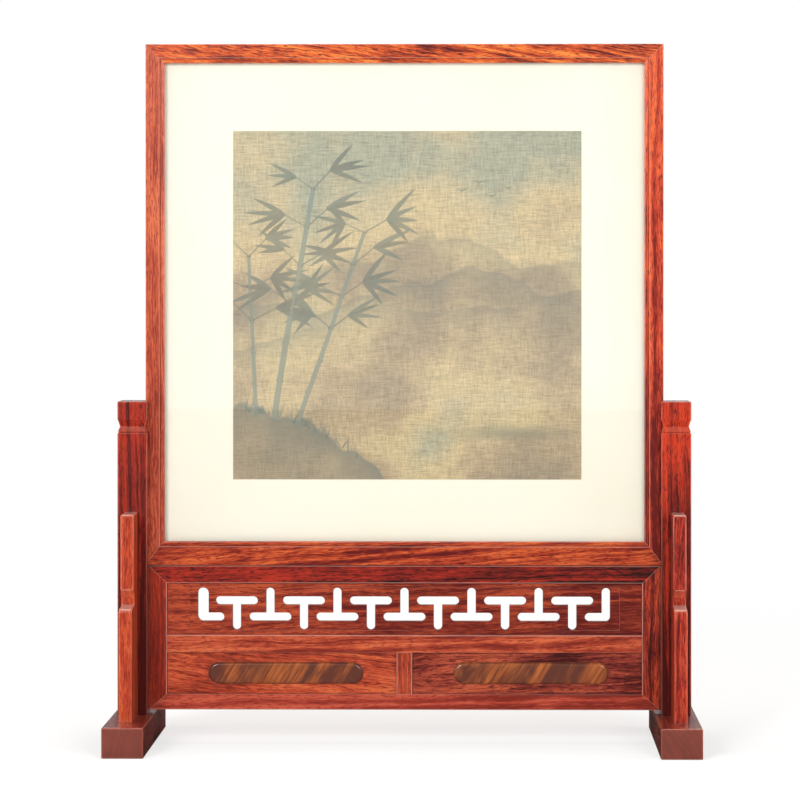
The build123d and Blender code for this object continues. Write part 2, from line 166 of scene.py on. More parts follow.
room = bpy.data.worlds.new("white_room")
scene.world = room
room.use_nodes = True
tree = room.node_tree
tree.nodes.clear()
room_fill = 0.385
room_in_gloss = 0.06
light_path = add_node(tree, "ShaderNodeLightPath")
open_view = add_node(
    tree, "ShaderNodeMath",
    {0: light_path.outputs["Is Camera Ray"], 1: light_path.outputs["Is Transmission Ray"]},
    operation="MAXIMUM",
)
gloss_level = add_node(
    tree, "ShaderNodeMix",
    {"Factor": light_path.outputs["Is Glossy Ray"], "A": room_fill, "B": room_in_gloss},
)
level = add_node(
    tree, "ShaderNodeMix", {"Factor": open_view.outputs[0], "A": gloss_level.outputs[0], "B": 1.0},
)
backdrop = add_node(tree, "ShaderNodeBackground", {"Color": linear("#FFFFFF"), "Strength": level.outputs[0]})
add_node(tree, "ShaderNodeOutputWorld", {"Surface": backdrop.outputs[0]})

screen_middle = Vector((0, 0, 0.26))
soft_boxes = [
    ("key_softbox", (-0.95, -2.2, 1.05), 0.8, 0.8, 24.0),
    ("fill_softbox", (0.9, -2.2, 0.95), 0.8, 0.8, 13.0),
    ("top_softbox", (0.0, 0.05, 1.6), 0.8, 0.35, 9.0),
    ("left_softbox", (-1.2, -0.1, 0.35), 0.35, 0.9, 7.0),
    ("right_softbox", (1.2, -0.1, 0.35), 0.35, 0.9, 7.0),
    ("back_softbox", (0.2, 2.0, 1.2), 1.6, 1.0, 20.0),
]
for name, place, width, height, watts in soft_boxes:
    lamp = bpy.data.lights.new(name, "AREA")
    lamp.shape = "RECTANGLE"
    lamp.size = width
    lamp.size_y = height
    lamp.energy = watts
    holder = bpy.data.objects.new(name, lamp)
    holder.location = place
    holder.rotation_euler = (screen_middle - Vector(place)).to_track_quat("-Z", "Y").to_euler()
    scene.collection.objects.link(holder)


# Feet: two plain rosewood blocks that run front to back, sawn so that the end grain faces the viewer.
# All the red wood is a hard, oily rosewood, planed, pore-filled and rubbed with a semi-gloss lacquer:
# straight dark streaks, short dark pores, and a soft shine on the eased edges, which, with the up-facing
# tops and the mouldings, are painted paler as a highlight.
merge_distance = 0.02 * mm
shortest_edge = 0.12 * mm
snap_distance = 0.05 * mm
flat_angle = math.radians(0.4)
sharp_angle = math.radians(24)
touch_distance = 0.3 * mm
edge_round = 0.7 * mm
joint_round = 0.15 * mm
least_round = 0.28 * mm
moulding_tilt = math.cos(math.radians(20))
grain_turn = {
    "x": (0.0, 0.0, 0.0),
    "y": (0.0, 0.0, -math.pi / 2),
    "z": (0.0, math.pi / 2, 0.0),
}
grain_axis = {"x": (1.0, 0.0, 0.0), "y": (0.0, 1.0, 0.0), "z": (0.0, 0.0, 1.0)}
depsgraph = bpy.context.evaluated_depsgraph_get()
skins = {name: BVHTree.FromObject(node, depsgraph) for name, node in frame["nodes"].items()}


def room_beside(edge, face):
    """How far a face reaches from one of its edges, square to that edge."""
    start = edge.verts[0].co
    along = (edge.verts[1].co - start).normalized()
    across = face.normal.cross(along)
    return max(abs((corner.co - start).dot(across)) for corner in face.verts)


def is_joint(edge, name):
    """True if an edge lies on another piece, as at a mitre or a shoulder."""
    middle = (edge.verts[0].co + edge.verts[1].co) / 2
    return any(
        skin.find_nearest(middle, touch_distance)[0] is not None
        for other, skin in skins.items() if other != name
    )


def flat_regions(shape):
    """The faces of a merged shape, gathered into flat regions."""
    left = set(shape.faces)
    for seed in shape.faces:
        if seed not in left:
            continue
        left.discard(seed)
        region, edge_of_search = {seed}, [seed]
        while edge_of_search:
            for edge in edge_of_search.pop().edges:
                for face in edge.link_faces:
                    if face in left and face.normal.angle(seed.normal, 1.0) < flat_angle:
                        left.discard(face)
                        region.add(face)
                        edge_of_search.append(face)
        yield region


def outlines(region):
    """The closed outlines of a flat region, each as the list of its corner places."""
    rim = {edge for face in region for edge in face.edges if sum(f in region for f in edge.link_faces) == 1}
    while rim:
        edge = rim.pop()
        first, corner = edge.verts
        places = [first.co]
        while corner is not first:
            places.append(corner.co)
            edge = next((e for e in corner.link_edges if e in rim), None)
            if edge is None:
                break
            rim.discard(edge)
            corner = edge.other_vert(corner)
        yield places


def split_round_holes(shape):
    """Cuts flat faces across the middle of each hole in them, because a face can't go round a hole."""
    spread = [max(v.co[i] for v in shape.verts) - min(v.co[i] for v in shape.verts) for i in range(3)]
    long_axis = spread.index(max(spread))
    cuts = {}
    for region in flat_regions(shape):
        loops = sorted(outlines(region), key=lambda loop: -sum(
            (a - b).length for a, b in zip(loop, loop[1:] + loop[:1])
        ))
        for loop in loops[1:]:
            along = [place[long_axis] for place in loop]
            middle = (min(along) + max(along)) / 2
            cuts.setdefault(round(middle, 4), middle)
    square_to = Vector([1.0 if i == long_axis else 0.0 for i in range(3)])
    for cut in sorted(cuts.values()):
        geometry = list(shape.verts) + list(shape.edges) + list(shape.faces)
        made = bmesh.ops.bisect_plane(
            shape, geom=geometry, dist=snap_distance, plane_co=square_to * cut, plane_no=square_to,
        )
        for part in made["geom_cut"]:
            if isinstance(part, bmesh.types.BMEdge):
                part.seam = True


def dress(name, wood, round_to=edge_round, joint_to=joint_round, moulded=True, highlight_tops=False):
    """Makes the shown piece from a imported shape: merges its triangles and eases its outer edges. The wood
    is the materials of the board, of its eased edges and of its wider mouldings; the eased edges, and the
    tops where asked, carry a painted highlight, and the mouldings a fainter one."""
    shape = bmesh.new()
    shape.from_mesh(frame["nodes"][name].data)
    bmesh.ops.remove_doubles(shape, verts=shape.verts, dist=merge_distance)
    shape.normal_update()
    split_round_holes(shape)
    bmesh.ops.remove_doubles(shape, verts=shape.verts, dist=shortest_edge)
    bmesh.ops.dissolve_limit(
        shape, angle_limit=flat_angle, verts=shape.verts, edges=shape.edges, delimit={"SEAM"},
    )
    shape.normal_update()
    weight = shape.edges.layers.float.new("bevel_weight_edge")
    for face in shape.faces:
        face.smooth = True
    for edge in shape.edges:
        if len(edge.link_faces) != 2 or edge.calc_face_angle() < sharp_angle:
            continue
        edge.smooth = False
        if edge.calc_face_angle_signed() < 0:
            continue
        wanted = joint_to if is_joint(edge, name) else round_to
        allowed = 0.36 * min(room_beside(edge, face) for face in edge.link_faces)
        if allowed > least_round:
            edge[weight] = min(wanted, allowed) / edge_round
    # Faces tilted off the axes take the fainter painted highlight of the mouldings; up-facing faces, where
    # asked, take the edges' painted highlight.
    for face in shape.faces:
        if moulded and max(abs(part) for part in face.normal) < moulding_tilt:
            face.material_index = 2
        if highlight_tops and face.normal.z > 0.5:
            face.material_index = 1
    mesh = bpy.data.meshes.new(name + "_wood")
    shape.to_mesh(mesh)
    shape.free()
    if "custom_normal" in mesh.attributes:
        mesh.attributes.remove(mesh.attributes["custom_normal"])
    for material in wood:
        mesh.materials.append(material)
    piece = bpy.data.objects.new(name + "_wood", mesh)
    scene.collection.objects.link(piece)
    easing = piece.modifiers.new("eased_edges", "BEVEL")
    easing.width = edge_round
    easing.segments = 2
    easing.profile = 0.5
    # The bevel faces take the second material: the painted edge highlight.
    easing.material = 1
    easing.limit_method = "WEIGHT"
    easing.use_clamp_overlap = False
    shading = piece.modifiers.new("flat_faces_stay_flat", "WEIGHTED_NORMAL")
    shading.keep_sharp = True
    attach(piece, frame["nodes"][name]["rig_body"])
    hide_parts(name)
    return piece


def rosewood(name, grain, tones, pith=(30.0, 45.0), slide=0.0, slope=0.0, streaks=0.5, drift=(0.0, 0.0)):
    """Lacquered rosewood, as one board: its grain axis, its tones from streak to light, where the pith of
    the tree lay beside it in millimetres, and how much lighter it gets per metre along the grain from a
    middle place, partly the board's own tone and partly a painted falloff of the light across the stand.
    Gives the board and paler copies for its eased edges and its mouldings, which are painted highlights."""
    # Painted highlight: the eased edges and tops are mixed 42% and the mouldings 16% towards a pale pink.
    states = (("", 0.0, "#E8B4A4"), ("_painted_edge_highlights", 0.42, "#E8B4A4"), ("_mouldings", 0.16, "#E88665"))
    return [
        rosewood_state(name + state, grain, tones, pith, slide, slope, streaks, drift, highlight_share, highlight_tone)
        for state, highlight_share, highlight_tone in states
    ]


def rosewood_state(name, grain, tones, pith, slide, slope, streaks, drift, highlight_share, highlight_tone):
    """One state of the board's surface: the plain lacquered face at no share, and paler the larger its share
    of painted highlight.
    """
    lustre = 0.34
    material, tree = new_material(name)
    spot = add_node(tree, "ShaderNodeTexCoord")
    turn = list(grain_turn[grain])
    turn[1] += math.radians(slope)
    board = add_node(
        tree, "ShaderNodeMapping",
        {
            "Vector": spot.outputs["Object"], "Scale": (1 / mm, 1 / mm, 1 / mm), "Rotation": turn,
            "Location": (slide, pith[0], pith[1]),
        },
    )
    # The rings wander by about 4 mm over lengths of about 90 mm.
    long_way = add_node(
        tree, "ShaderNodeVectorMath", {0: board.outputs[0], 1: (0.011, 0.055, 0.055)}, operation="MULTIPLY",
    )
    wander = add_node(
        tree, "ShaderNodeTexNoise", {"Vector": long_way.outputs[0], "Scale": 1.0, "Detail": 2.0},
    )
    offset = add_node(
        tree, "ShaderNodeVectorMath", {0: wander.outputs["Color"], 1: (0.5, 0.5, 0.5)}, operation="SUBTRACT",
    )
    bent = add_node(
        tree, "ShaderNodeVectorMath", {0: offset.outputs[0], 1: (9.0, 9.0, 9.0), 2: board.outputs[0]},
        operation="MULTIPLY_ADD",
    )
    # Rings lie round the pith, which runs along the grain, about 3 mm apart and uneven.
    ring_plane = add_node(
        tree, "ShaderNodeVectorMath", {0: bent.outputs[0], 1: (0.0, 1.0, 1.0)}, operation="MULTIPLY",
    )
    radius = add_node(tree, "ShaderNodeVectorMath", {0: ring_plane.outputs[0]}, operation="LENGTH")
    rings = add_node(
        tree, "ShaderNodeTexNoise",
        {"W": radius.outputs["Value"], "Scale": 0.3, "Detail": 4.0, "Roughness": 0.62},
        noise_dimensions="1D",
    )
    # Fibre streaks, under 1 mm wide and about 10 mm long.
    fibre_way = add_node(
        tree, "ShaderNodeVectorMath", {0: bent.outputs[0], 1: (0.1, 1.15, 1.15)}, operation="MULTIPLY",
    )
    fibres = add_node(
        tree, "ShaderNodeTexNoise",
        {"Vector": fibre_way.outputs[0], "Scale": 1.0, "Detail": 3.0, "Roughness": 0.6},
    )
    # Broad light and dark clouds, where the lacquer took the stain unevenly.
    cloud_way = add_node(
        tree, "ShaderNodeVectorMath", {0: bent.outputs[0], 1: (0.02, 0.07, 0.07)}, operation="MULTIPLY",
    )
    clouds = add_node(
        tree, "ShaderNodeTexNoise", {"Vector": cloud_way.outputs[0], "Scale": 1.0, "Detail": 2.0},
    )
    figure = add_node(
        tree, "ShaderNodeMix",
        {"Factor": streaks, "A": fibres.outputs["Fac"], "B": rings.outputs["Fac"]},
    )
    cloud_share = add_node(
        tree, "ShaderNodeMath", {0: clouds.outputs["Fac"], 1: 0.45, 2: 0.275}, operation="MULTIPLY_ADD",
    )
    figure = add_node(
        tree, "ShaderNodeMath", {0: figure.outputs[0], 1: cloud_share.outputs[0]}, operation="ADD",
    )
    along = add_node(
        tree, "ShaderNodeVectorMath",
        {0: spot.outputs["Object"], 1: grain_axis[grain]}, operation="DOT_PRODUCT",
    )
    # Painted light falloff: the figure grows lighter along the grain from the middle place, partly the
    # board's tone and partly standing in for how the light falls across the stand.
    middle, per_metre = drift
    painted_light_falloff = add_node(
        tree, "ShaderNodeMath",
        {0: along.outputs["Value"], 1: per_metre, 2: -middle * per_metre}, operation="MULTIPLY_ADD",
    )
    figure = add_node(
        tree, "ShaderNodeMath", {0: figure.outputs[0], 1: painted_light_falloff.outputs[0]}, operation="ADD",
    )
    figure = add_node(
        tree, "ShaderNodeMapRange",
        {"Value": figure.outputs[0], "From Min": 0.83, "From Max": 1.17},
    )
    dark, body, light = (linear(tone) for tone in tones)
    colour = add_node(
        tree, "ShaderNodeValToRGB", {"Fac": figure.outputs[0]},
        stops=[(0.12, dark), (0.9, light), (0.5, body)],
    )
    # Pores are cut vessels 0.2 mm wide and 3 to 6 mm long; they are drawn 0.6 mm wide so that they show.
    pore_way = add_node(
        tree, "ShaderNodeVectorMath", {0: bent.outputs[0], 1: (0.21, 1.5, 1.5)}, operation="MULTIPLY",
    )
    pores = add_node(
        tree, "ShaderNodeTexNoise",
        {"Vector": pore_way.outputs[0], "Scale": 1.0, "Detail": 1.0, "Roughness": 0.4},
    )
    pore = add_node(
        tree, "ShaderNodeMapRange",
        {"Value": pores.outputs["Fac"], "From Min": 0.54, "From Max": 0.68, "To Max": 0.8},
    )
    pored = add_node(
        tree, "ShaderNodeMix",
        {"Factor": pore.outputs[0], 6: colour.outputs["Color"], 7: dark}, data_type="RGBA",
    )
    # End grain drinks more stain and scatters less light, so it is darker and browner.
    facing = add_node(
        tree, "ShaderNodeVectorMath",
        {0: spot.outputs["Normal"], 1: grain_axis[grain]}, operation="DOT_PRODUCT",
    )
    on_end = add_node(tree, "ShaderNodeMath", {0: facing.outputs["Value"]}, operation="ABSOLUTE")
    end_share = add_node(
        tree, "ShaderNodeMapRange",
        {"Value": on_end.outputs[0], "From Min": 0.75, "From Max": 0.95, "To Max": 0.75},
    )
    ended = add_node(
        tree, "ShaderNodeMix",
        {"Factor": end_share.outputs[0], 6: pored.outputs[2], 7: linear("#82443A")}, data_type="RGBA",
    )
    # Painted highlight: the surface is mixed towards the pale tone by the state's share.
    highlighted = add_node(
        tree, "ShaderNodeMix", {"Factor": highlight_share, 6: ended.outputs[2], 7: linear(highlight_tone)}, data_type="RGBA",
    )
    height = add_node(
        tree, "ShaderNodeMath",
        {0: pore.outputs[0], 1: -1.0, 2: fibres.outputs["Fac"]}, operation="MULTIPLY_ADD",
    )
    relief = add_node(
        tree, "ShaderNodeBump", {"Height": height.outputs[0], "Strength": 0.12, "Distance": 0.08 * mm},
    )
    sheen = add_node(
        tree, "ShaderNodeMapRange",
        {
            "Value": fibres.outputs["Fac"], "From Min": 0.3, "From Max": 0.7, "To Min": lustre,
            "To Max": lustre + 0.14,
        },
    )
    surface = add_node(
        tree, "ShaderNodeBsdfPrincipled",
        {
            "Base Color": highlighted.outputs[2], "Roughness": sheen.outputs[0], "Normal": relief.outputs[0],
            "IOR": 1.5, "Specular IOR Level": 0.25, "Coat Weight": 0.8, "Coat Roughness": 0.14,
        },
    )
    add_node(tree, "ShaderNodeOutputMaterial", {"Surface": surface.outputs[0]})
    return material


foot_tones = ("#5A1A12", "#8A3020", "#A84A30")
for side, pith in (("left", (60.0, 34.0)), ("right", (95.0, 52.0))):
    wood = rosewood(f"rosewood_{side}_foot", "y", foot_tones, pith)
    dress(f"{side}_foot", wood)


# Posts: two square rosewood uprights with a moulded neck and a cap, tenoned into the feet and grooved on
# the inside for the picture frame. They are the darkest and most evenly streaked wood of the stand, partly
# their own tone and partly painted shade behind the brackets, and darker again towards the feet: painted
# shade beside the brackets.
post_tones = {"left": ("#510803", "#8E1D09", "#B12C0E"), "right": ("#500604", "#A5260B", "#D23811")}
for side, pith, slide in (("left", (26.0, 240.0), 0.0), ("right", (41.0, -215.0), 300.0)):
    wood = rosewood(
        f"rosewood_{side}_post", "z", post_tones[side], pith, slide, streaks=0.7, drift=(0.19, 1.2),
    )
    dress(f"{side}_post", wood, round_to=0.0, joint_to=0.0)


# Brackets: standing spandrels, cut out of a thin board with a ledge and a cove at half height, tongued to
# the posts and tenoned into the feet. Their edges, corners and up-facing ledge tops carry a painted
# highlight.
bracket_tones = {"left": ("#902812", "#C2411F", "#DB6531"), "right": ("#650C07", "#AD2B17", "#CB4D2C")}
for end in ("front", "rear"):
    for side, pith in (("left", (18.0, 250.0)), ("right", (55.0, -230.0))):
        wood = rosewood(
            f"rosewood_{end}_{side}_bracket", "z", bracket_tones[side], pith, slide=120.0, streaks=0.4,
            drift=(0.11, 0.0 if side == "left" else -0.8),
        )
        dress(f"{end}_{side}_bracket", wood, joint_to=0.3 * mm, highlight_tops=True)


# Base frame: three rails, two stiles and a muntin of straight rosewood, mitred and tenoned together, with
# a bevel worked round each opening.
stile_tones = {"left": ("#7C1907", "#9C270D", "#C13913"), "right": ("#4A0706", "#9D2D16", "#DF4F27")}
rail_tones = {
    "bottom": ("#862516", "#B23D2B", "#CE593E"), "middle": ("#832111", "#BB4829", "#DA693D"),
    "top": ("#240503", "#831607", "#B82A10"),
}
for side, pith in (("left", (35.0, 210.0)), ("right", (20.0, -260.0))):
    wood = rosewood(f"rosewood_base_{side}_stile", "z", stile_tones[side], pith, slide=50.0)
    dress(f"base_{side}_stile", wood)
# The rails get darker towards the right: painted light falling from the left.
for rail, pith, slide in (
    ("bottom", (24.0, 12.0), 0.0), ("middle", (33.0, -110.0), 210.0), ("top", (19.0, -160.0), 420.0),
):
    wood = rosewood(
        f"rosewood_base_{rail}_rail", "x", rail_tones[rail], pith, slide, slope=1.5, drift=(0.0, -0.3),
    )
    dress(f"base_{rail}_rail", wood)
wood = rosewood("rosewood_base_muntin", "z", rail_tones["middle"], (14.0, 30.0))
dress("base_muntin", wood)


# Fret panel: one board with a sunken field, pierced by a row of interlocking T slots that a small round
# cutter left with round ends. It sits by its tongue in the grooves of the base frame.
fret_tones = ("#660F05", "#9D361C", "#C5512A")
# The panel gets darker towards the right: painted light falling from the left.
wood = rosewood(
    "rosewood_fret_panel", "x", fret_tones, (25.0, -60.0), slide=80.0, slope=2.0, drift=(0.0, -0.28),
)
dress("fretwork_panel", wood, round_to=0.12 * mm, moulded=False)


# Lower panels: two thin boards in the same grooves, each with a pocket for its boss.
panel_tones = {"left": ("#7B2311", "#C34826", "#E16C3C"), "right": ("#450606", "#943324", "#C95B39")}
# The panels' tones drift across their width: partly board tone and partly a painted falloff of the light.
for side, pith, slope in (("left", (22.0, -20.0), -6.0), ("right", (38.0, 12.0), 3.0)):
    wood = rosewood(
        f"rosewood_{side}_lower_panel", "x", panel_tones[side], pith, slide=40.0, slope=slope,
        drift=(-0.09, 0.2) if side == "left" else (0.09, -0.4),
    )
    dress(f"{side}_lower_panel", wood, round_to=0.3 * mm)


# Bosses: long rounded inlays of a lighter burr wood, let into the panels and polished proud of them.
# Tobacco-brown clouds cross the amber slantwise, and the polish is glassier than the lacquer round it.
def figured_wood(name, slide):
    """Polished figured hardwood: amber, with slanting smoky stripes about 20 mm wide."""
    material, tree = new_material(name)
    spot = add_node(tree, "ShaderNodeTexCoord")
    board = add_node(
        tree, "ShaderNodeMapping",
        {
            "Vector": spot.outputs["Object"], "Scale": (1 / mm, 1 / mm, 1 / mm),
            "Rotation": (0.0, math.radians(-32), 0.0), "Location": (slide, 0.0, 0.0),
        },
    )
    stretched = add_node(
        tree, "ShaderNodeVectorMath", {0: board.outputs[0], 1: (0.05, 0.03, 0.018)}, operation="MULTIPLY",
    )
    smoke = add_node(
        tree, "ShaderNodeTexNoise",
        {"Vector": stretched.outputs[0], "Scale": 1.0, "Detail": 4.0, "Roughness": 0.55, "Distortion": 0.6},
    )
    fine_way = add_node(
        tree, "ShaderNodeVectorMath", {0: board.outputs[0], 1: (0.5, 0.2, 0.035)}, operation="MULTIPLY",
    )
    fine = add_node(tree, "ShaderNodeTexNoise", {"Vector": fine_way.outputs[0], "Scale": 1.0, "Detail": 3.0})
    amber = add_node(
        tree, "ShaderNodeValToRGB", {"Fac": fine.outputs["Fac"]},
        stops=[(0.34, linear("#7A361C")), (0.66, linear("#C26C34"))],
    )
    share = add_node(
        tree, "ShaderNodeMapRange", {"Value": smoke.outputs["Fac"], "From Min": 0.42, "From Max": 0.56},
    )
    colour = add_node(
        tree, "ShaderNodeMix",
        {"Factor": share.outputs[0], 6: amber.outputs["Color"], 7: linear("#683628")}, data_type="RGBA",
    )
    surface = add_node(
        tree, "ShaderNodeBsdfPrincipled",
        {
            "Base Color": colour.outputs[2], "Roughness": 0.3, "IOR": 1.5, "Coat Weight": 0.8,
            "Coat Roughness": 0.06,
        },
    )
    add_node(tree, "ShaderNodeOutputMaterial", {"Surface": surface.outputs[0]})
    return material


for side, slide in (("left", 0.0), ("right", 260.0)):
    inlay = figured_wood(f"figured_wood_{side}_boss", slide)
    dress(f"{side}_boss", [inlay, inlay], round_to=0.2 * mm, moulded=False)


# Picture frame: four mitred members of the reddest rosewood, flat on the face, with a quirk and a small
# bead along the sight edge. Slip tenons hold the mitres.
frame_tones = {
    "top_rail": ("#5B0605", "#D9531B", "#FF8D39"),
    "left_stile": ("#902813", "#C35232", "#DD7147"),
    "right_stile": ("#6F0F05", "#C83B1D", "#F36A32"),
    "bottom_rail": ("#660705", "#B73D18", "#DF672E"),
}
# The stiles get lighter towards the top: painted light from above.
for member, grain, pith, slide, slope, drift in (
    ("top_rail", "x", (22.0, -470.0), 0.0, -9.0, (0.0, 0.0)),
    ("bottom_rail", "x", (30.0, -180.0), 150.0, 5.0, (0.0, 0.0)),
    ("left_stile", "z", (16.0, 215.0), 60.0, 0.5, (0.33, 0.35)),
    ("right_stile", "z", (28.0, -150.0), 240.0, -0.5, (0.36, 0.7)),
):
    wood = rosewood(f"rosewood_frame_{member}", grain, frame_tones[member], pith, slide, slope, drift=drift)
    dress(f"frame_{member}", wood)


# Glazing: a 2 mm clear sheet that drops into the rabbet behind the bead. Daylight goes straight through
# it to the mount, so lamps and bounced light pass it as if it were air.
glass, tree = new_material("clear_float_glass")
light_path = add_node(tree, "ShaderNodeLightPath")
spot = add_node(tree, "ShaderNodeTexCoord")
ripple = add_node(tree, "ShaderNodeTexNoise", {"Vector": spot.outputs["Object"], "Scale": 9.0, "Detail": 1.0})
wave = add_node(
    tree, "ShaderNodeBump", {"Height": ripple.outputs["Fac"], "Strength": 0.02, "Distance": 0.1 * mm},
)
pane = add_node(
    tree, "ShaderNodeBsdfPrincipled",
    {
        "Base Color": linear("#FFFFFF"), "Roughness": 0.0, "IOR": 1.5, "Transmission Weight": 1.0,
        "Normal": wave.outputs[0],
    },
)
clear = add_node(tree, "ShaderNodeBsdfTransparent", {"Color": linear("#FFFFFF")})
bounced = add_node(
    tree, "ShaderNodeMixShader",
    {0: light_path.outputs["Is Diffuse Ray"], 1: pane.outputs[0], 2: clear.outputs[0]},
)
lamps_pass = add_node(
    tree, "ShaderNodeMixShader",
    {0: light_path.outputs["Is Shadow Ray"], 1: bounced.outputs[0], 2: clear.outputs[0]},
)
add_node(tree, "ShaderNodeOutputMaterial", {"Surface": lamps_pass.outputs[0]})
frame["nodes"]["glazing_sheet"].data.materials.clear()
frame["nodes"]["glazing_sheet"].data.materials.append(glass)


# Mount board: cream rag board with a faint laid texture and faint yellower clouds where light
# and the wood's oils have aged it.
board, tree = new_material("cream_rag_board")
spot = add_node(tree, "ShaderNodeTexCoord")
pulp = add_node(
    tree, "ShaderNodeTexNoise", {"Vector": spot.outputs["Object"], "Scale": 1400.0, "Detail": 3.0},
)
age = add_node(tree, "ShaderNodeTexNoise", {"Vector": spot.outputs["Object"], "Scale": 9.0, "Detail": 2.0})
toned = add_node(
    tree, "ShaderNodeValToRGB", {"Fac": age.outputs["Fac"]},
    stops=[(0.3, linear("#FAF6E2")), (0.75, linear("#FBF8E8"))],
)
tooth = add_node(
    tree, "ShaderNodeBump", {"Height": pulp.outputs["Fac"], "Strength": 0.12, "Distance": 0.05 * mm},
)
surface = add_node(
    tree, "ShaderNodeBsdfPrincipled",
    {"Base Color": toned.outputs["Color"], "Roughness": 0.85, "IOR": 1.45, "Normal": tooth.outputs[0]},
)
add_node(tree, "ShaderNodeOutputMaterial", {"Surface": surface.outputs[0]})
frame["nodes"]["mount_board"].data.materials.clear()
frame["nodes"]["mount_board"].data.materials.append(board)


# Silk leaf: a square of old painted silk, pasted flat on the board. The weft shows as fine level lines
# and the ground has gone from grey-green at the top to tan. The painting on it is a plain bamboo bank.
leaf_low, leaf_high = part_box("silk_leaf")
leaf_width = leaf_high.x - leaf_low.x
leaf_height = leaf_high.z - leaf_low.z
leaf_cells = 300
leaf_shape = bmesh.new()
stand_up = Matrix.Rotation(math.pi / 2, 4, "X")
leaf_front = leaf_low.y + 0.06 * mm
to_place = Matrix.Translation(((leaf_low.x + leaf_high.x) / 2, leaf_front, (leaf_low.z + leaf_high.z) / 2))
bmesh.ops.create_grid(
    leaf_shape, x_segments=leaf_cells, y_segments=leaf_cells, size=leaf_width / 2, matrix=to_place @ stand_up,
)
rim = [edge for edge in leaf_shape.edges if edge.is_boundary]
rim_back = bmesh.ops.extrude_edge_only(leaf_shape, edges=rim)
bmesh.ops.translate(
    leaf_shape, vec=(0, leaf_high.y - leaf_front, 0),
    verts=[part for part in rim_back["geom"] if isinstance(part, bmesh.types.BMVert)],
)
leaf_mesh = bpy.data.meshes.new("silk_leaf_painted")
leaf_shape.to_mesh(leaf_mesh)
leaf_shape.free()

places = np.empty(len(leaf_mesh.vertices) * 3, np.float32)
leaf_mesh.vertices.foreach_get("co", places)
places = places.reshape(-1, 3)
across = (places[:, 0] - leaf_low.x) / mm
up = (places[:, 2] - leaf_low.z) / mm
stroke_reach = 2.0
inside = np.full(len(across), -stroke_reach, np.float32)
ink = np.zeros(len(across), np.float32)
wash = np.zeros(len(across), np.float32)
hand = random.Random(41)


def brush(points, widths, tone):
    """Lays one brush stroke through points, in millimetres from the leaf's lower left corner: keeps how
    deep inside the stroke each place of the silk is, and the stroke's tone from pale to dark."""
    for (x0, y0), (x1, y1), w0, w1 in zip(points, points[1:], widths, widths[1:]):
        reach = max(w0, w1) + stroke_reach
        near = (
            (across > min(x0, x1) - reach) & (across < max(x0, x1) + reach)
            & (up > min(y0, y1) - reach) & (up < max(y0, y1) + reach)
        )
        px, py = across[near] - x0, up[near] - y0
        run, rise = x1 - x0, y1 - y0
        share = np.clip((px * run + py * rise) / max(run * run + rise * rise, 1e-9), 0, 1)
        depth = (w0 + (w1 - w0) * share) - np.hypot(px - share * run, py - share * rise)
        better = depth > inside[near]
        inside[near] = np.where(better, depth, inside[near])
        ink[near] = np.where(better & (depth > -0.6), tone, ink[near])


def blade(x, y, heading, length, width, tone, bend=0.0):
    """A leaf or a blade of grass: one stroke that swells early and runs out to a point."""
    steps = 7
    points, widths = [], []
    for step in range(steps + 1):
        share = step / steps
        points.append((x, y))
        widths.append(width * math.sin(math.pi * min(share * 0.9 + 0.1, 1.0) ** 0.75) + 0.12)
        turn = heading + bend * share
        x += math.cos(turn) * length / steps
        y += math.sin(turn) * length / steps
    brush(points, widths, tone)


def culm(x, y, heading, length, width, joints, tone):
    """A bamboo stem: straight strokes with a gap and a dark tick at each joint."""
    places_up = []
    for _ in range(joints):
        run = length / joints
        end = (x + math.cos(heading) * run, y + math.sin(heading) * run)
        gap = 0.04
        start_in = (x + (end[0] - x) * gap, y + (end[1] - y) * gap)
        end_in = (end[0] - (end[0] - x) * gap, end[1] - (end[1] - y) * gap)
        brush([start_in, end_in], [width, width * 0.96], tone)
        brush([(end[0] - width, end[1] + 0.2), (end[0] + width, end[1] - 0.1)], [0.5, 0.5], 0.95)
        places_up.append(end)
        x, y = end
        heading += hand.uniform(-0.03, 0.03)
        width *= 0.95
    return places_up


def leaf_spray(x, y, heading, count, size, tone):
    """A twig with leaves that hang from its tip like spread fingers."""
    reach = size * 0.7
    tip = (x + math.cos(heading) * reach, y + math.sin(heading) * reach)
    brush([(x, y), tip], [0.5, 0.4], 0.7)
    for number in range(count):
        fan = (number - (count - 1) / 2) * 0.42
        droop = -0.55 if math.cos(heading) > 0 else 0.55
        blade(
            tip[0], tip[1], heading + droop + fan + hand.uniform(-0.12, 0.12),
            size * hand.uniform(0.75, 1.15), size * 0.062, tone + hand.uniform(-0.12, 0.1),
            bend=0.25 * droop,
        )


def ridge(level, rise, spread, seed):
    """The height of a far hill line across the leaf, as a sum of a few slow waves."""
    waves = random.Random(seed)
    line = np.full(len(across), level, np.float32)
    for octave in (1, 2, 4, 8):
        phase = waves.uniform(0, math.tau)
        line += rise / octave * np.sin(across / spread * octave + phase)
    return line


for level, rise, spread, density, depth, seed in (
    (168.0, 9.0, 34.0, 0.30, 22.0, 5), (146.0, 7.0, 26.0, 0.42, 17.0, 8), (128.0, 4.0, 21.0, 0.36, 10.0, 12),
):
    crest = ridge(level, rise, spread, seed) - 0.0009 * (across - 190.0) ** 2
    below = crest - up
    fade = np.where(below > 0, np.exp(-below / depth), np.exp(np.minimum(below, 0) / 1.2))
    wash = np.maximum(wash, density * fade)
bank_line = 52.0 - 0.0042 * across ** 2 + 3.0 * np.sin(across / 7.0) + 1.5 * np.sin(across / 2.7)
bank_depth = bank_line - up
bank = np.where(bank_depth > 0, np.exp(-bank_depth / 26.0), np.exp(np.minimum(bank_depth, 0) / 1.0))
wash = np.maximum(wash, 0.62 * bank)
shoal = np.exp(-((across - 205.0) / 42.0) ** 2 - ((up - 34.0) / 5.0) ** 2)
wash = np.maximum(wash, 0.5 * shoal)

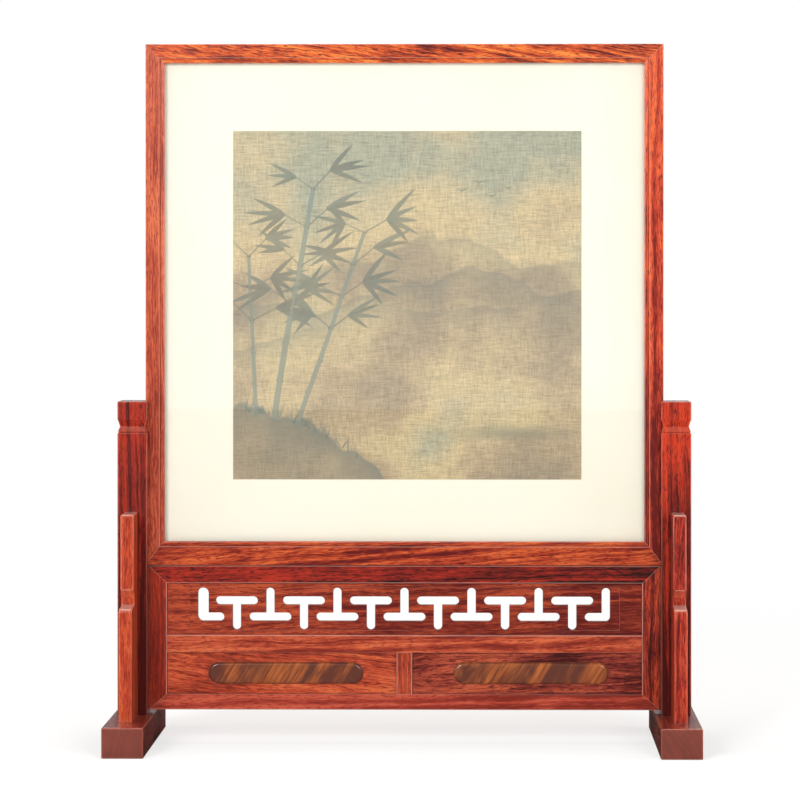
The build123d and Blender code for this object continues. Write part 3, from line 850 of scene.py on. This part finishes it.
for x, y, heading, length, width, joints in (
    (30.0, 44.0, 1.42, 172.0, 2.3, 6), (47.0, 40.0, 1.24, 150.0, 1.8, 6), (17.0, 46.0, 1.62, 118.0, 1.5, 5),
):
    for number, (jx, jy) in enumerate(culm(x, y, heading, length, width, joints, 0.42)):
        if number < 2:
            continue
        for side in (-1, 1):
            leaf_heading = math.pi / 2 - side * hand.uniform(0.7, 1.2)
            leaf_spray(jx, jy, leaf_heading, hand.choice((3, 4, 5)), hand.uniform(22.0, 30.0), 0.72)
for _ in range(34):
    x = hand.uniform(4.0, 92.0)
    blade(
        x, 50.0 - 0.0042 * x ** 2, math.pi / 2 + hand.uniform(-0.6, 0.6), hand.uniform(4.0, 12.0), 0.5,
        hand.uniform(0.4, 0.7), bend=hand.uniform(-0.5, 0.5),
    )
for x, y in ((168.0, 212.0), (181.0, 218.0), (190.0, 208.0), (202.0, 214.0)):
    brush([(x - 4.0, y + 1.6), (x, y), (x + 4.0, y + 1.8)], [0.25, 0.6, 0.25], 0.6)
for name, values in (("stroke_depth", inside), ("stroke_tone", ink), ("wash", wash)):
    layer = leaf_mesh.attributes.new(name, "FLOAT", "POINT")
    layer.data.foreach_set("value", values.astype(np.float32))

silk, tree = new_material("aged_painted_silk")
spot = add_node(tree, "ShaderNodeTexCoord")
place = add_node(
    tree, "ShaderNodeMapping",
    {
        "Vector": spot.outputs["Object"], "Scale": (1 / mm, 1 / mm, 1 / mm),
        "Location": (-leaf_low.x / mm, 0.0, -leaf_low.z / mm),
    },
)
# Real threads lie 0.25 mm apart; the slubs that show are drawn about 0.8 mm wide and 12 mm long.
weft_way = add_node(
    tree, "ShaderNodeVectorMath", {0: place.outputs[0], 1: (0.11, 1.0, 1.35)}, operation="MULTIPLY",
)
weft = add_node(
    tree, "ShaderNodeTexNoise",
    {"Vector": weft_way.outputs[0], "Scale": 1.0, "Detail": 3.0, "Roughness": 0.7},
)
warp_way = add_node(
    tree, "ShaderNodeVectorMath", {0: place.outputs[0], 1: (1.1, 1.0, 0.14)}, operation="MULTIPLY",
)
warp = add_node(
    tree, "ShaderNodeTexNoise",
    {"Vector": warp_way.outputs[0], "Scale": 1.0, "Detail": 2.0, "Roughness": 0.6},
)
weave = add_node(
    tree, "ShaderNodeMix", {"Factor": 0.4, "A": weft.outputs["Fac"], "B": warp.outputs["Fac"]},
)
drift = add_node(
    tree, "ShaderNodeTexNoise", {"Vector": place.outputs[0], "Scale": 0.011, "Detail": 3.0, "Roughness": 0.5},
)
heights = add_node(tree, "ShaderNodeSeparateXYZ", {0: place.outputs[0]})
rise = add_node(
    tree, "ShaderNodeMapRange",
    {"Value": heights.outputs["Z"], "From Max": leaf_height / mm, "To Min": -0.12, "To Max": 0.12},
)
ground = add_node(tree, "ShaderNodeMath", {0: drift.outputs["Fac"], 1: rise.outputs[0]}, operation="ADD")
ground_colour = add_node(
    tree, "ShaderNodeValToRGB", {"Fac": ground.outputs[0]},
    stops=[
        (0.28, linear("#9C8E76")), (0.72, linear("#A6A68E")), (0.42, linear("#B4A080")),
        (0.52, linear("#CDB98E")), (0.62, linear("#BEB290")),
    ],
)
thread_tint = add_node(
    tree, "ShaderNodeMapRange",
    {"Value": weave.outputs[0], "From Min": 0.32, "From Max": 0.68, "To Min": 0.62, "To Max": 1.3},
)
threaded = add_node(
    tree, "ShaderNodeVectorMath", {0: ground_colour.outputs["Color"], "Scale": thread_tint.outputs[0]},
    operation="SCALE",
)
wash_value = add_node(tree, "ShaderNodeAttribute", attribute_name="wash")
wash_share = add_node(
    tree, "ShaderNodeMath", {0: wash_value.outputs["Fac"], 1: weave.outputs[0]}, operation="MULTIPLY",
)
wash_share = add_node(
    tree, "ShaderNodeMath", {0: wash_share.outputs[0], 1: 2.0}, operation="MULTIPLY", use_clamp=True,
)
washed = add_node(
    tree, "ShaderNodeMix",
    {"Factor": wash_share.outputs[0], 6: threaded.outputs[0], 7: linear("#5E6C68")}, data_type="RGBA",
)
depth_value = add_node(tree, "ShaderNodeAttribute", attribute_name="stroke_depth")
tone_value = add_node(tree, "ShaderNodeAttribute", attribute_name="stroke_tone")
stroke_mask = add_node(
    tree, "ShaderNodeMapRange",
    {"Value": depth_value.outputs["Fac"], "From Min": -0.35, "From Max": 0.3, "To Max": 0.8},
    interpolation_type="SMOOTHSTEP",
)
dry = add_node(
    tree, "ShaderNodeMapRange",
    {"Value": weave.outputs[0], "From Min": 0.35, "From Max": 0.6, "To Min": 0.6, "To Max": 1.0},
)
stroke_share = add_node(
    tree, "ShaderNodeMath", {0: stroke_mask.outputs[0], 1: dry.outputs[0]}, operation="MULTIPLY",
)
stroke_colour = add_node(
    tree, "ShaderNodeValToRGB", {"Fac": tone_value.outputs["Fac"]},
    stops=[(0.25, linear("#86988C")), (0.95, linear("#474C48")), (0.6, linear("#66756C"))],
)
painted = add_node(
    tree, "ShaderNodeMix",
    {"Factor": stroke_share.outputs[0], 6: washed.outputs[2], 7: stroke_colour.outputs["Color"]},
    data_type="RGBA",
)
threads = add_node(
    tree, "ShaderNodeBump", {"Height": weave.outputs[0], "Strength": 0.2, "Distance": 0.06 * mm},
)
surface = add_node(
    tree, "ShaderNodeBsdfPrincipled",
    {
        "Base Color": painted.outputs[2], "Roughness": 0.7, "IOR": 1.5, "Sheen Weight": 0.1,
        "Normal": threads.outputs[0],
    },
)
add_node(tree, "ShaderNodeOutputMaterial", {"Surface": surface.outputs[0]})
leaf_mesh.materials.append(silk)
leaf = bpy.data.objects.new("silk_leaf_painted", leaf_mesh)
scene.collection.objects.link(leaf)
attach(leaf, "picture_frame")
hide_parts("silk_leaf")


# Backing board: thin poplar plywood that closes the frame, planed but not lacquered, pale and dry.
backing, tree = new_material("poplar_plywood")
spot = add_node(tree, "ShaderNodeTexCoord")
ply_way = add_node(
    tree, "ShaderNodeVectorMath", {0: spot.outputs["Object"], 1: (60.0, 300.0, 5.0)}, operation="MULTIPLY",
)
ply = add_node(
    tree, "ShaderNodeTexNoise",
    {"Vector": ply_way.outputs[0], "Scale": 1.0, "Detail": 5.0, "Distortion": 0.4},
)
ply_colour = add_node(
    tree, "ShaderNodeValToRGB", {"Fac": ply.outputs["Fac"]},
    stops=[(0.3, linear("#B8905E")), (0.7, linear("#D6B486"))],
)
surface = add_node(
    tree, "ShaderNodeBsdfPrincipled",
    {"Base Color": ply_colour.outputs["Color"], "Roughness": 0.7, "IOR": 1.5},
)
add_node(tree, "ShaderNodeOutputMaterial", {"Surface": surface.outputs[0]})
frame["nodes"]["backing_board"].data.materials.clear()
frame["nodes"]["backing_board"].data.materials.append(backing)


# Turn buttons and their screws: small stamped brass strips that swing over the backing board, each on a
# slotted steel screw. Handling has dulled the brass and left fine scratches.
def worn_metal(name, bright, dull, rough, scratch_scale):
    """A metal with handling marks: its two tones, its roughness and the pitch of its scratches."""
    material, tree = new_material(name)
    spot = add_node(tree, "ShaderNodeTexCoord")
    marks = add_node(
        tree, "ShaderNodeTexNoise", {"Vector": spot.outputs["Object"], "Scale": scratch_scale, "Detail": 4.0},
    )
    tone = add_node(
        tree, "ShaderNodeValToRGB", {"Fac": marks.outputs["Fac"]},
        stops=[(0.35, linear(dull)), (0.65, linear(bright))],
    )
    polish = add_node(
        tree, "ShaderNodeMapRange",
        {"Value": marks.outputs["Fac"], "To Min": rough + 0.15, "To Max": rough - 0.1},
    )
    surface = add_node(
        tree, "ShaderNodeBsdfPrincipled",
        {"Base Color": tone.outputs["Color"], "Metallic": 1.0, "Roughness": polish.outputs[0]},
    )
    add_node(tree, "ShaderNodeOutputMaterial", {"Surface": surface.outputs[0]})
    return material


brass = worn_metal("stamped_brass", "#D9B465", "#A88340", 0.34, 400.0)
steel = worn_metal("slotted_steel", "#B9BABC", "#8A8A8C", 0.3, 700.0)
for name, node in frame["nodes"].items():
    if name == "turn_button_screws" or name.startswith("turn_button_"):
        node.data.materials.clear()
        node.data.materials.append(steel if name == "turn_button_screws" else brass)
